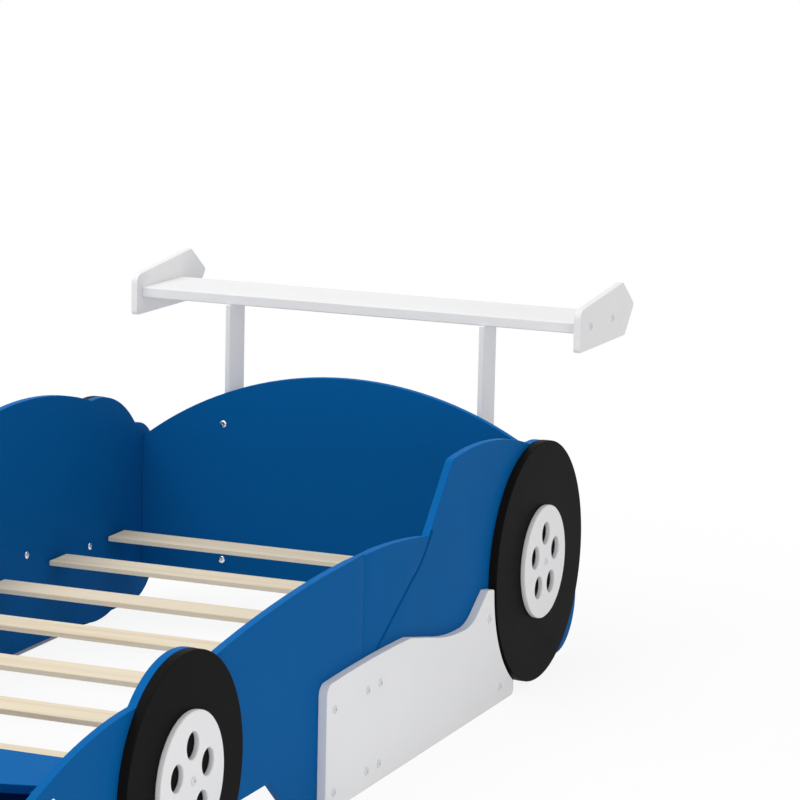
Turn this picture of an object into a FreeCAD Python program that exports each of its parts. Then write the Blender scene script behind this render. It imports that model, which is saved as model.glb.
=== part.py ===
"""A child's bed in the shape of an open race car.

Flat painted boards make the body: two sides, each of two halves, a headboard, a footboard, a nose
with a storage bin, and a skirt board along each side that bridges the two halves. Four round discs
stand for wheels and turn with nothing: they are screwed flat to the sides and carry the bed together
with the skirts. Seven bare slats lie between the sides, and a wing stands on two posts behind the
headboard.

Millimetres. The car's nose points along -Y, X runs across it, and +X is the car's own left. Outlines
are measured from the rear wheel's axle: "ahead" is towards the nose, "behind" towards the tail, and
heights are from the floor.
"""
import FreeCAD, Part
import math
import os
import re

import Sketcher
from FreeCAD import Placement, Rotation, Vector

SIZES = [
    # name, millimetres, what it measures
    ("board", 16, "thickness of the body boards"),
    ("cladding", 18, "thickness of the skirts and the wheel discs"),
    ("inner_width", 1000, "clear width between the two sides"),
    ("panel_bottom", 15, "height of the sides' bottom edge"),
    ("wheelbase", 1662, "distance between the axles"),
    ("rear_wheel_radius", 252, "radius of a rear wheel disc"),
    ("front_wheel_radius", 217, "radius of a front wheel disc"),

    ("seam_ahead", 891, "joint between a side's two halves"),
    ("door_height", 441, "height of the door's top edge at the joint"),
    ("door_rear_radius", 2100, "curve of the door's top edge behind the joint"),
    ("fender_foot_ahead", 577, "where the rear fender rises from the door"),
    ("fender_foot_height", 415, "height where the rear fender rises from the door"),
    ("fender_corner_ahead", 460.5, "front top corner of the rear fender"),
    ("fender_corner_height", 544.5, "height of that corner"),
    ("fender_corner_round", 20, "rounding of that corner"),
    ("fender_crest_radius", 1050, "curve of the rear fender's top edge"),
    ("notch_ahead", 32, "where the fender's top edge meets the wheel arch"),
    ("rear_arch_ahead", 8.5, "centre of the rear arch, ahead of the axle"),
    ("rear_arch_rise", 6.6, "centre of the rear arch, above the axle"),
    ("rear_arch_radius", 246.4, "radius of the rear arch"),
    ("cusp_behind", 177, "where the rear arch meets the tail"),
    ("tail_reach", 277, "the tail's upright edge, behind the axle"),
    ("tail_shoulder_height", 319.5, "top of the tail's upright edge"),
    ("tail_shoulder_radius", 97, "curve from the rear arch to the upright edge"),
    ("tail_heel_radius", 108, "curve from the upright edge to the bottom edge"),
    ("rear_foot_radius", 246, "round foot of a side behind its rear wheel, about the axle"),

    ("door_front_radius", 3969, "curve of the door's top edge ahead of the joint"),
    ("front_arch_clearance", 0.5, "how far the front arch stands outside its wheel"),
    ("front_arch_rear", 129, "rear end of the front arch, behind its axle"),
    ("front_arch_front", 150, "front end of the front arch, ahead of its axle"),
    ("hood_radius", 1050, "curve of the hood's top edge"),
    ("hood_end_ahead", 2150, "where the hood's edge turns into the nose"),
    ("hood_end_height", 309, "height there"),
    ("nose_reach", 2215, "the nose's upright edge, ahead of the rear axle"),
    ("nose_shoulder_height", 221, "top of the nose's upright edge"),
    ("nose_radius", 92, "curve from the hood to the upright edge"),
    ("chin_height", 80, "height of the nose's bottom edge"),
    ("chin_round", 35, "rounding under the nose"),
    ("chin_step_front", 1640, "front end of the step behind the front wheel disc"),
    ("chin_step_rear", 1590, "rear end of that step"),
    ("belly_height", 113, "height of the bottom edge behind the front wheel"),
    ("foot_top_ahead", 1294, "top of the sloping front edge of the side's foot"),
    ("foot_toe_ahead", 1181, "toe of that edge"),

    ("trim_start_height", 402, "top end of the routed line on the door"),
    ("trim_start_inset", 3, "top end of the routed line, ahead of the fender's foot"),
    ("trim_bend_ahead", 651, "where the routed line turns straight"),
    ("trim_bend_height", 349, "height there"),
    ("trim_bend_radius", 201, "bend of the routed line's top stretch"),
    ("trim_end_ahead", 826, "lower end of the routed line, under the skirt"),
    ("trim_end_height", 247, "height of that end"),
    ("trim_groove_radius", 2.5, "half the width of the routed line's groove"),

    ("skirt_front_ahead", 1091.5, "front edge of a skirt"),
    ("skirt_front_height", 240.5, "height of a skirt's front corner"),
    ("skirt_front_round", 22, "rounding of the skirt's front top corner"),
    ("skirt_bottom_round", 8, "rounding of the skirt's front bottom corner"),
    ("skirt_crown_radius", 4950, "curve of the skirt's top edge"),
    ("skirt_dip_start_ahead", 700, "where the skirt's top edge leaves that curve"),
    ("skirt_dip_start_height", 243, "height there"),
    ("skirt_dip_ahead", 580, "where the skirt's dip begins"),
    ("skirt_dip_height", 217.5, "height there"),
    ("skirt_dip_radius", 680, "curve of the front side of the dip"),
    ("skirt_low_ahead", 413, "lowest point of the skirt's top edge"),
    ("skirt_low_height", 197, "height there"),
    ("skirt_rise_radius", 110, "curve of the rear side of the dip"),
    ("skirt_horn_ahead", 348, "where the straight front of the skirt's horn begins"),
    ("skirt_horn_start_height", 217, "height there"),
    ("skirt_horn_corner_ahead", 296, "the horn's front top corner"),
    ("skirt_horn_corner_height", 251, "height of that corner"),
    ("skirt_horn_tip_height", 246, "height of the horn's tip beside the wheel"),
    ("skirt_horn_round", 6, "rounding of the horn's two corners"),
    ("skirt_wheel_gap", 11, "gap between a skirt and its rear wheel"),
    ("skirt_toe_ahead", 138, "rear bottom corner of a skirt"),
    ("skirt_toe_round", 14, "rounding of that corner"),

    ("hub_radius", 118.5, "radius of a hub disc"),
    ("hub_thickness", 12, "thickness of a hub disc"),
    ("hub_holes", 5, "number of holes round a hub"),
    ("hub_hole_radius", 23.4, "radius of these holes"),
    ("hub_hole_pitch_radius", 60.3, "from the hub's centre to the holes' centres"),

    ("headboard_behind", 213.3, "front face of the headboard, behind the rear axle"),
    ("headboard_bottom", 80, "height of the headboard's bottom edge"),
    ("headboard_crest", 557, "height of the headboard's crest"),
    ("headboard_radius", 815, "curve of the headboard's top edge"),
    ("mattress_length", 1910, "clear length between headboard and footboard"),
    ("footboard_bottom", 80, "height of the footboard's bottom edge"),

    ("deck_height", 237.5, "height of the front deck's top face"),
    ("deck_side_depth", 111, "depth of the front deck at the sides"),
    ("deck_bow_radius", 1225, "curve of the front deck's front edge"),
    ("bin_floor_height", 113, "height of the bin floor's underside"),
    ("bumper_ahead", 2104, "rear face of the bumper board"),
    ("bumper_bottom", 80, "height of the bumper's bottom edge"),
    ("bumper_top", 270, "height of the bumper's top edge"),
    ("cleat", 25, "width and depth of a nose cleat"),
    ("cleat_top", 308, "height of a nose cleat's top end"),

    ("slat_top", 189, "height of the slats' top faces"),
    ("slat_thickness", 10.6, "thickness of a slat"),
    ("slat_width", 77, "width of a slat"),
    ("slat_pitch", 272, "distance from slat to slat"),
    ("slat_rear_behind", 115.7, "rear edge of the rearmost slat"),
    ("slat_end_gap", 5, "gap between a slat's end and the side"),
    ("slat_bevel", 1, "bevel of a slat's long edges"),
    ("pin_diameter", 6, "diameter of the steel pins that carry the slats"),
    ("pin_spacing", 44, "distance between the two pins of a slat end"),
    ("pin_depth", 12, "how far a pin goes into the side"),
    ("pin_grip", 20, "how far a pin goes into the slat"),

    ("post_offset", 300.6, "middle of a spoiler post, from the bed's middle"),
    ("post_thickness", 10.2, "thickness of a post"),
    ("post_depth", 76.4, "depth of a post"),
    ("post_bottom", 80, "height of a post's lower end"),
    ("wing_bottom", 695.3, "height of the wing's underside"),
    ("wing_thickness", 23, "thickness of the wing"),
    ("wing_front_behind", 238.6, "front edge of the wing"),
    ("wing_depth", 195, "depth of the wing"),
    ("wing_bevel", 2, "bevel of the wing's long edges"),
    ("wing_overhang", 16.3, "how far the wing runs past the side's inner face"),
    ("plate_thickness", 15, "thickness of an end plate"),
    ("plate_front_behind", 212, "front edge of an end plate"),
    ("plate_bottom", 658, "height of an end plate's bottom edge"),
    ("plate_front_top", 748, "height of an end plate's front top corner"),
    ("plate_peak_behind", 485, "the end plate's highest corner"),
    ("plate_peak_height", 777, "height of that corner"),
    ("plate_tip_reach", 562.2, "the end plate's rearmost corner"),
    ("plate_tip_trim", 4.2, "what the rounding takes off that corner"),
    ("plate_tip_height", 721, "height of that corner"),
    ("plate_heel_behind", 505, "rear bottom corner of an end plate"),
    ("plate_front_round", 20, "rounding of the end plate's front top corner"),
    ("plate_round", 9, "rounding of its other corners"),

    ("bolt_diameter", 6, "diameter of a bolt's shank"),
    ("bolt_head_radius", 6.5, "radius of a bolt's head"),
    ("bolt_head_height", 3.2, "height of a bolt's head"),
    ("bolt_bite", 12, "how far a bolt goes into the last board that it holds"),
    ("nose_bolt_upper", 291, "height of the nose cleats' upper bolts"),
    ("nose_bolt_lower", 190, "height of the nose cleats' lower bolts"),
    ("post_bolt_upper", 431, "height of the post's upper bolt"),
    ("post_bolt_lower", 123, "height of the post's lower bolt"),
    ("post_bolt_bite", 40, "how far a bolt goes into the post"),
    ("plate_bolt_front", 277, "an end plate's front bolt, behind the axle"),
    ("plate_bolt_rear", 418, "an end plate's rear bolt, behind the axle"),
    ("plate_bolt_bite", 35, "how far a bolt goes into the wing"),
    ("skirt_bolt_top", 190, "height of a skirt's upper bolts"),
    ("skirt_bolt_bottom", 35, "height of a skirt's lower bolts"),
    ("skirt_bolt_front_ahead", 1057, "a skirt's front pair of bolts"),
    ("skirt_bolt_seam_front", 906, "the pair just ahead of the joint"),
    ("skirt_bolt_seam_rear", 848, "the pair just behind the joint"),
    ("skirt_bolt_horn_ahead", 288, "the upper bolt near the wheel"),
    ("skirt_bolt_toe_ahead", 220, "the lower bolt near the wheel"),
    ("inner_bolt_bite", 10, "how far an inner bolt goes into a skirt or a wheel"),
    ("inner_bolt_skirt_ahead", 324, "the inner bolt that holds the skirt"),
    ("inner_bolt_skirt_height", 219, "height of that bolt"),
    ("inner_bolt_rear_ahead", 39, "the inner bolt that holds the rear wheel, ahead of its axle"),
    ("inner_bolt_front_behind", 90, "the inner bolt that holds the front wheel, behind its axle"),
    ("inner_bolt_drop", 70, "how far below the axle these two bolts are"),
    ("screw_diameter", 6, "diameter of the hidden corner screws"),
    ("screw_head_radius", 5, "radius of their flush heads"),
    ("screw_head_height", 3, "depth of their flush heads"),
    ("screw_bite", 34, "how far they go into a board's end"),
    ("headboard_screw_lower", 180, "height of the headboard's lower corner screws"),
    ("headboard_screw_upper", 330, "height of the headboard's upper corner screws"),
    ("footboard_screw_lower", 100, "height of the footboard's lower corner screws"),
    ("footboard_screw_upper", 190, "height of the footboard's upper corner screws"),
    ("deck_screw_set", 60, "the deck's side screws, ahead of its rear edge"),
    ("floor_screw_set", 55, "the bin floor's side screws, ahead of the footboard"),
    ("bumper_screw_lower", 150, "height of the bumper's lower screws into the cleats"),
    ("bumper_screw_upper", 235, "height of the bumper's upper screws into the cleats"),
    ("bumper_screw_bite", 17, "how far the bumper's screws go past the bumper"),
    ("bumper_floor_spread", 300, "spacing of the bumper's screws into the bin floor"),
    ("dowel_diameter", 6, "diameter of the wooden dowels"),
    ("dowel_length", 30, "length of a dowel"),
    ("seam_dowel_lower", 110, "height of a side joint's lower dowel"),
    ("seam_dowel_upper", 330, "height of a side joint's upper dowel"),
    ("wing_dowel_front", 252, "the wing's front dowels, behind the axle"),
    ("wing_dowel_rear", 288, "the wing's rear dowels, behind the axle"),
]
SLATS = 7
SIDES = {"left": 1, "right": -1}
BORE_SIDES = 6
HEAD_SIDES = 8
RIM_SIDES = 60
HUB_HOLE_SIDES = 18

NAMES = {name for name, value, note in SIZES}
PLANES = {
    # plane: the axis that a sketch on it faces, as the index of a placement's axis and a sign
    "XY_Plane": ("z", 1),
    "XZ_Plane": ("y", -1),
    "YZ_Plane": ("x", 1),
}

doc = FreeCAD.newDocument("car_bed")
sheet = doc.addObject("Spreadsheet::Sheet", "Sizes")
for row, (name, value, note) in enumerate(SIZES, start=1):
    sheet.set(f"A{row}", note)
    sheet.set(f"B{row}", str(value))
    sheet.setAlias(f"B{row}", name)
doc.recompute()


# ---------------------------------------------------------------- sizes and expressions

def bound(text):
    """The expression with each size's name written as its cell of the sheet."""
    cell = lambda word: "Sizes." + word.group() if word.group() in NAMES else word.group()
    return re.sub(r"[a-z][a-z0-9_]*", cell, text)


def number(text):
    """What an expression of sizes comes to now."""
    result = sheet.evalExpression(bound(text))
    return float(getattr(result, "Value", result))


REAR_ARCH_TOP = "rear_wheel_radius + rear_arch_rise"
REAR_FOOT_REACH = "sqrt(rear_foot_radius ^ 2 - (rear_wheel_radius - panel_bottom) ^ 2)"
FRONT_ARCH = "(front_wheel_radius + front_arch_clearance)"
SKIRT_ARC = "(rear_wheel_radius + skirt_wheel_gap)"
FOOTBOARD = "(mattress_length - headboard_behind)"      # its rear face, ahead of the axle
SHIFT = "(nose_reach - plate_tip_reach + plate_tip_trim) / 2"  # the axle, behind the bed's middle


def circle_height(centre, radius, across):
    """The height of a circle's upper half, at a distance across from its centre."""
    return f"{centre} + sqrt({radius} ^ 2 - ({across}) ^ 2)"


# ---------------------------------------------------------------- sketches and features

def new_body(name, x="0", y="0", z="0"):
    """An empty body, placed from the rear axle's point on the floor."""
    body = doc.addObject("PartDesign::Body", name)
    body.Label = name
    place(body, x, y, z)
    return body


def place(item, x="0", y="0", z="0"):
    for axis, text in (("x", x), ("y", f"{y} + {SHIFT}"), ("z", z)):
        item.setExpression(f"Placement.Base.{axis}", bound(text))


def new_sketch(body, name, plane, offset="0"):
    """A sketch on one of the body's own planes, or parallel to it."""
    sketch = body.newObject("Sketcher::SketchObject", name)
    origin = [item for item in body.Origin.OriginFeatures if item.Role == plane]
    sketch.AttachmentSupport = [(origin[0], "")]
    sketch.MapMode = "FlatFace"
    sketch.setExpression("AttachmentOffset.Base.z", bound(offset))
    return sketch


class Drawing:
    """Lines, arcs, circles and their rules, gathered so that a sketch is solved only once."""

    def __init__(self, sketch):
        self.sketch, self.shapes, self.rules = sketch, [], []

    def add(self, shape):
        self.shapes.append(shape)
        return len(self.shapes) - 1

    def rule(self, kind, *parts, expression=None):
        """Add a constraint; one with an expression follows the sizes."""
        value = () if expression is None else (number(expression),)
        self.rules.append((Sketcher.Constraint(kind, *parts, *value), expression))

    def pin(self, shape, point, across, up):
        """Hold a point at two distances from the sketch's origin."""
        self.rule("DistanceX", -1, 1, shape, point, expression=across)
        self.rule("DistanceY", -1, 1, shape, point, expression=up)

    def outline(self, corners, closed=True):
        """Draw lines and arcs from corner to corner.

        A corner is (across, up). One that an arc leaves is (across, up, radius, bulge): the bulge
        is 1 where the arc swells to the left of the way along the outline, and -1 to the right.
        """
        places = [Vector(number(corner[0]), number(corner[1]), 0) for corner in corners]
        count = len(corners) if closed else len(corners) - 1
        ends = []
        for index in range(count):
            start, end = places[index], places[(index + 1) % len(places)]
            if len(corners[index]) == 2:
                ends.append((self.add(Part.LineSegment(start, end)), 1, 2))
            else:
                ends.append(self.arc(start, end, *corners[index][2:]))
        for index, (shape, start, end) in enumerate(ends):
            self.pin(shape, start, *corners[index][:2])
            if closed or index + 1 < count:
                follower = ends[(index + 1) % count]
                self.rule("Coincident", shape, end, *follower[:2])
            else:
                self.pin(shape, end, *corners[index + 1][:2])

    def arc(self, start, end, radius, bulge):
        """Draw the shorter arc of a radius; its number, and its points at start and end."""
        middle, chord = (start + end) / 2, end - start
        left = Vector(-chord.y, chord.x, 0).normalize()
        reach = math.sqrt(number(radius) ** 2 - (chord.Length / 2) ** 2)
        centre = middle - left * bulge * reach
        first, last = (end, start) if bulge > 0 else (start, end)
        angles = [math.atan2(point.y - centre.y, point.x - centre.x) for point in (first, last)]
        circle = Part.Circle(centre, Vector(0, 0, 1), number(radius))
        shape = self.add(Part.ArcOfCircle(circle, *angles))
        self.rule("Radius", shape, expression=radius)
        return (shape, 2, 1) if bulge > 0 else (shape, 1, 2)

    def polygon(self, across, up, radius, sides):
        """A regular polygon, its first corner straight across from its centre."""
        self.outline([(f"{across} + {math.cos(turn):.9f} * {radius}",
                       f"{up} + {math.sin(turn):.9f} * {radius}") for turn in turns(sides)])

    def finish(self):
        self.sketch.addGeometry(self.shapes, False)
        self.sketch.addConstraint([constraint for constraint, expression in self.rules])
        for index, (constraint, expression) in enumerate(self.rules):
            if expression is not None:
                self.sketch.setExpression(f"Constraints[{index}]", bound(expression))


def turns(sides):
    return [math.radians(360 * index / sides) for index in range(sides)]


def draw_outline(sketch, corners, closed=True):
    drawing = Drawing(sketch)
    drawing.outline(corners, closed)
    drawing.finish()


def draw_polygon(sketch, across, up, radius, sides):
    drawing = Drawing(sketch)
    drawing.polygon(across, up, radius, sides)
    drawing.finish()


def pad(body, sketch, plane, length, way=1):
    """Thicken a sketch along +axis (way 1) or -axis (way -1) of its plane."""
    feature = body.newObject("PartDesign::Pad", body.Name + "_board")
    feature.Profile = sketch
    feature.setExpression("Length", bound(length))
    feature.Reversed = PLANES[plane][1] * way < 0
    doc.recompute()
    return feature


def drill(body, name, plane, centres, radius, depth, way, offset="0"):
    """Sink six-sided bores along +axis (way 1) or -axis (way -1) of their plane.

    A bore has the six sides of the shank that fills it, corner on corner, so that neither needs
    the many faces of a round wall that nobody sees.
    """
    sketch = new_sketch(body, name + "_mouths", plane, offset)
    drawing = Drawing(sketch)
    for across, up in centres:
        drawing.polygon(across, up, radius, BORE_SIDES)
    drawing.finish()
    cut(body, name, sketch, plane, depth, way)


def cut(body, name, sketch, plane, depth, way):
    before = body.Shape.Volume
    feature = body.newObject("PartDesign::Pocket", name)
    feature.Profile = sketch
    feature.setExpression("Length", bound(depth))
    feature.Reversed = PLANES[plane][1] * way > 0
    doc.recompute()
    if not body.Shape.Volume < before:
        raise RuntimeError(f"{body.Name}: {name} cuts nothing")
    return feature


def round_corners(body, name, plane, corners, radius):
    """Round the upright edges of a board at some corners of its outline."""
    across, up = {"YZ_Plane": ("y", "z"), "XZ_Plane": ("x", "z"), "XY_Plane": ("x", "y")}[plane]
    wanted = [(number(corner[0]), number(corner[1])) for corner in corners]
    edges = []
    for index, edge in enumerate(local_shape(body).Edges, start=1):
        ends = [vertex.Point for vertex in edge.Vertexes]
        if any(all(near(getattr(end, across), a) and near(getattr(end, up), u) for end in ends)
               for a, u in wanted):
            edges.append(f"Edge{index}")
    if len(edges) != len(wanted):
        raise RuntimeError(f"{body.Name}: {len(edges)} of {len(wanted)} corners found")
    dress(body, "Fillet", name, edges, radius, "Radius")


def dress(body, kind, name, edges, size, property_name):
    """Add a fillet or a chamfer of a size along some edges of the body's last feature."""
    dressed = body.Tip
    feature = body.newObject(f"PartDesign::{kind}", f"{body.Name}_{name}")
    feature.Base = (dressed, edges)
    feature.setExpression(property_name, bound(size))
    doc.recompute()
    if not 0 < body.Shape.Volume < dressed.Shape.Volume:
        raise RuntimeError(f"{body.Name}: {name} takes nothing off")


def local_shape(body):
    """The shape of the body's last feature, in the body's own coordinates."""
    return body.Tip.Shape


def near(one, other):
    return abs(one - other) < 1e-4


# ---------------------------------------------------------------- the two sides

REAR_HALF = [
    ("-seam_ahead", "panel_bottom"),
    ("-seam_ahead", "door_height", "door_rear_radius", 1),
    ("-fender_foot_ahead", "fender_foot_height"),
    ("-fender_corner_ahead", "fender_corner_height", "fender_crest_radius", 1),
    ("-notch_ahead",
     circle_height(REAR_ARCH_TOP, "rear_arch_radius", "notch_ahead - rear_arch_ahead"),
     "rear_arch_radius", 1),
    ("cusp_behind",
     circle_height(REAR_ARCH_TOP, "rear_arch_radius", "cusp_behind + rear_arch_ahead"),
     "tail_shoulder_radius", 1),
    ("tail_reach", "tail_shoulder_height"),
    ("tail_reach", "panel_bottom + tail_heel_radius", "tail_heel_radius", 1),
    ("tail_reach - tail_heel_radius", "panel_bottom"),
    (REAR_FOOT_REACH, "panel_bottom", "rear_foot_radius", 1),
    (f"-{REAR_FOOT_REACH}", "panel_bottom"),
]
FRONT_HALF = [
    ("-seam_ahead", "door_height"),
    ("-seam_ahead", "panel_bottom"),
    ("-foot_toe_ahead", "panel_bottom"),
    ("-foot_top_ahead", "belly_height"),
    ("-chin_step_rear", "belly_height"),
    ("-chin_step_front", "chin_height"),
    ("-nose_reach", "chin_height"),
    ("-nose_reach", "nose_shoulder_height", "nose_radius", 1),
    ("-hood_end_ahead", "hood_end_height", "hood_radius", 1),
    ("-wheelbase - front_arch_front",
     circle_height("front_wheel_radius", FRONT_ARCH, "front_arch_front"), FRONT_ARCH, 1),
    ("-wheelbase + front_arch_rear",
     circle_height("front_wheel_radius", FRONT_ARCH, "front_arch_rear"), "door_front_radius", 1),
]


def slat_middle(index):
    return f"slat_rear_behind - slat_width / 2 - {index} * slat_pitch"


def pin_places(indexes):
    """Where the pins of some slats enter a side."""
    middle_height = "slat_top - slat_thickness / 2"
    return [(f"{slat_middle(index)} + {way} * pin_spacing / 2", middle_height)
            for index in indexes for way in (-1, 1)]


def slats_of(half):
    """The slats that a side's front or rear half carries."""
    behind = [number(slat_middle(index)) > -number("seam_ahead") for index in range(SLATS)]
    return [index for index in range(SLATS) if behind[index] == (half == "rear")]


SKIRT_BOLTS = {
    "front": [("-skirt_bolt_front_ahead", "skirt_bolt_top"),
              ("-skirt_bolt_front_ahead", "skirt_bolt_bottom"),
              ("-skirt_bolt_seam_front", "skirt_bolt_top"),
              ("-skirt_bolt_seam_front", "skirt_bolt_bottom")],
    "rear": [("-skirt_bolt_seam_rear", "skirt_bolt_top"),
             ("-skirt_bolt_seam_rear", "skirt_bolt_bottom"),
             ("-skirt_bolt_horn_ahead", "skirt_bolt_top"),
             ("-skirt_bolt_toe_ahead", "skirt_bolt_bottom")],
}
HUB_BOLTS = {"front": [("-wheelbase", "front_wheel_radius")], "rear": [("0", "rear_wheel_radius")]}
WHEEL_BOLTS = {
    "front": [("-wheelbase + inner_bolt_front_behind", "front_wheel_radius - inner_bolt_drop")],
    "rear": [("-inner_bolt_rear_ahead", "rear_wheel_radius - inner_bolt_drop")],
}
SKIRT_INNER_BOLTS = {"front": [], "rear": [("-inner_bolt_skirt_ahead", "inner_bolt_skirt_height")]}
NOSE_BOLTS = [("-bumper_ahead + cleat / 2", "nose_bolt_lower"),
              ("-bumper_ahead + cleat / 2", "nose_bolt_upper")]
HEADBOARD_SCREWS = [("headboard_behind + board / 2", "headboard_screw_lower"),
                    ("headboard_behind + board / 2", "headboard_screw_upper")]
FOOTBOARD_SCREWS = [(f"-{FOOTBOARD} - board / 2", "footboard_screw_lower"),
                    (f"-{FOOTBOARD} - board / 2", "footboard_screw_upper")]
DECK_SCREWS = [(f"-{FOOTBOARD} - deck_screw_set", "deck_height - board / 2")]
FLOOR_SCREWS = [(f"-{FOOTBOARD} - board - floor_screw_set", "bin_floor_height + board / 2")]
CORNER_SCREWS = {"front": FOOTBOARD_SCREWS + DECK_SCREWS + FLOOR_SCREWS, "rear": HEADBOARD_SCREWS}
SEAM_DOWELS = ["seam_dowel_lower", "seam_dowel_upper"]
BOLT_RADIUS, SCREW_RADIUS = "bolt_diameter / 2", "screw_diameter / 2"


def make_side(half, side, outline, rounded):
    """One half of one side: a board whose inner face bounds the bed's clear width."""
    way = SIDES[side]
    body = new_body(f"side_panel_{half}_{side}", x=f"{way} * inner_width / 2")
    sketch = new_sketch(body, "side_outline", "YZ_Plane")
    draw_outline(sketch, outline)
    pad(body, sketch, "YZ_Plane", "board", way)
    for name, corner, radius in rounded:
        round_corners(body, name, "YZ_Plane", [corner], radius)

    outer = f"{way} * board"
    through = WHEEL_BOLTS[half] + SKIRT_INNER_BOLTS[half]
    drill(body, "inner_bolt_holes", "YZ_Plane", through, BOLT_RADIUS, "board", way)
    drill(body, "corner_screw_holes", "YZ_Plane", CORNER_SCREWS[half], SCREW_RADIUS, "board", way)
    drill(body, "corner_screw_sinks", "YZ_Plane", CORNER_SCREWS[half], "screw_head_radius",
          "screw_head_height", -way, outer)
    drill(body, "outer_bolt_holes", "YZ_Plane", SKIRT_BOLTS[half] + HUB_BOLTS[half], BOLT_RADIUS,
          "bolt_bite", -way, outer)
    drill(body, "slat_pin_holes", "YZ_Plane", pin_places(slats_of(half)), "pin_diameter / 2",
          "pin_depth", way)
    if half == "front":
        drill(body, "nose_bolt_holes", "YZ_Plane", NOSE_BOLTS, BOLT_RADIUS, "board", way)
    drill(body, "seam_dowel_holes", "XZ_Plane",
          [(f"{way} * board / 2", height) for height in SEAM_DOWELS], "dowel_diameter / 2",
          "dowel_length / 2", 1 if half == "rear" else -1, offset="seam_ahead")
    return body


def rout_trim_line(body, side):
    """Rout the groove that carries the fender's front edge down across the door."""
    way = SIDES[side]
    path = new_sketch(body, "trim_path", "YZ_Plane", f"{way} * board")
    draw_outline(path, [
        ("-trim_end_ahead", "trim_end_height"),
        ("-trim_bend_ahead", "trim_bend_height", "trim_bend_radius", -1),
        ("-fender_foot_ahead - trim_start_inset", "trim_start_height"),
    ], closed=False)
    doc.recompute()
    section = body.newObject("Sketcher::SketchObject", "trim_cutter")
    section.AttachmentSupport = [(path, "Edge1")]
    section.MapMode = "NormalToEdge"
    section.MapPathParameter = 0
    doc.recompute()
    draw_polygon(section, "0", "0", "trim_groove_radius", BORE_SIDES)
    before = body.Shape.Volume
    groove = body.newObject("PartDesign::SubtractivePipe", "trim_groove")
    groove.Profile = section
    groove.Spine = (path, ["Edge1", "Edge2"])
    groove.Transition = "Round corner"
    doc.recompute()
    if not body.Shape.Volume < before:
        raise RuntimeError(f"{body.Name}: the trim line cuts nothing")


for side in SIDES:
    make_side("front", side, FRONT_HALF,
              [("chin", ("-nose_reach", "chin_height"), "chin_round")])
    rear = make_side("rear", side, REAR_HALF,
                     [("fender_corner", ("-fender_corner_ahead", "fender_corner_height"),
                       "fender_corner_round")])
    rout_trim_line(rear, side)


# ---------------------------------------------------------------- boards across the bed

HALF_WIDTH = "inner_width / 2"


def across_board(name, corners, front):
    """An upright board between the sides, its front face at a distance behind the rear axle."""
    body = new_body(name, y=front)
    sketch = new_sketch(body, "outline", "XZ_Plane")
    draw_outline(sketch, corners)
    pad(body, sketch, "XZ_Plane", "board", 1)
    return body


def end_screw_holes(body, places):
    """Bore a board's two ends for the corner screws that come through the sides."""
    for side, way in SIDES.items():
        drill(body, f"screw_holes_{side}", "YZ_Plane", places, SCREW_RADIUS, "screw_bite", -way,
              f"{way} * {HALF_WIDTH}")


def make_headboard():
    shoulder = "headboard_crest - headboard_radius + sqrt(headboard_radius ^ 2 - (inner_width / 2) ^ 2)"
    body = across_board("headboard", [
        (f"-{HALF_WIDTH}", "headboard_bottom"),
        (f"-{HALF_WIDTH}", shoulder, "headboard_radius", 1),
        (HALF_WIDTH, shoulder),
        (HALF_WIDTH, "headboard_bottom"),
    ], "headboard_behind")
    end_screw_holes(body, [("board / 2", "headboard_screw_lower"),
                           ("board / 2", "headboard_screw_upper")])
    drill(body, "post_bolt_holes", "XZ_Plane", POST_BOLTS, BOLT_RADIUS, "board", 1)


def rectangle(left, bottom, right, top):
    return [(left, bottom), (left, top), (right, top), (right, bottom)]


POST_BOLTS = [(f"{way} * post_offset", height) for way in SIDES.values()
              for height in ("post_bolt_lower", "post_bolt_upper")]
CLEAT_MIDDLE = "(inner_width / 2 - cleat / 2)"
BUMPER_CLEAT_SCREWS = [(f"{way} * {CLEAT_MIDDLE}", height) for way in SIDES.values()
                       for height in ("bumper_screw_lower", "bumper_screw_upper")]
BUMPER_FLOOR_SCREWS = [(f"{place} * bumper_floor_spread", "bin_floor_height + board / 2")
                       for place in (-1, 0, 1)]


def make_footboard():
    corners = rectangle(f"-{HALF_WIDTH}", "footboard_bottom", HALF_WIDTH, "deck_height - board")
    body = across_board("footboard", corners, f"-{FOOTBOARD} - board")
    end_screw_holes(body, [("board / 2", "footboard_screw_lower"),
                           ("board / 2", "footboard_screw_upper")])


def make_bumper():
    corners = rectangle(f"-{HALF_WIDTH}", "bumper_bottom", HALF_WIDTH, "bumper_top")
    body = across_board("front_bumper", corners, "-bumper_ahead - board")
    drill(body, "bumper_screw_holes", "XZ_Plane", BUMPER_CLEAT_SCREWS + BUMPER_FLOOR_SCREWS,
          SCREW_RADIUS, "board", 1)


def level_board(name, corners, bottom, rear):
    """A level board, its outline measured from its rear edge and its underside at a height."""
    body = new_body(name, y=rear, z=bottom)
    sketch = new_sketch(body, "outline", "XY_Plane")
    draw_outline(sketch, corners)
    pad(body, sketch, "XY_Plane", "board", 1)
    return body


def make_deck():
    body = level_board("front_deck", [
        (f"-{HALF_WIDTH}", "0"),
        (HALF_WIDTH, "0"),
        (HALF_WIDTH, "-deck_side_depth", "deck_bow_radius", 1),
        (f"-{HALF_WIDTH}", "-deck_side_depth"),
    ], "deck_height - board", f"-{FOOTBOARD}")
    end_screw_holes(body, [("-deck_screw_set", "board / 2")])


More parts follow.
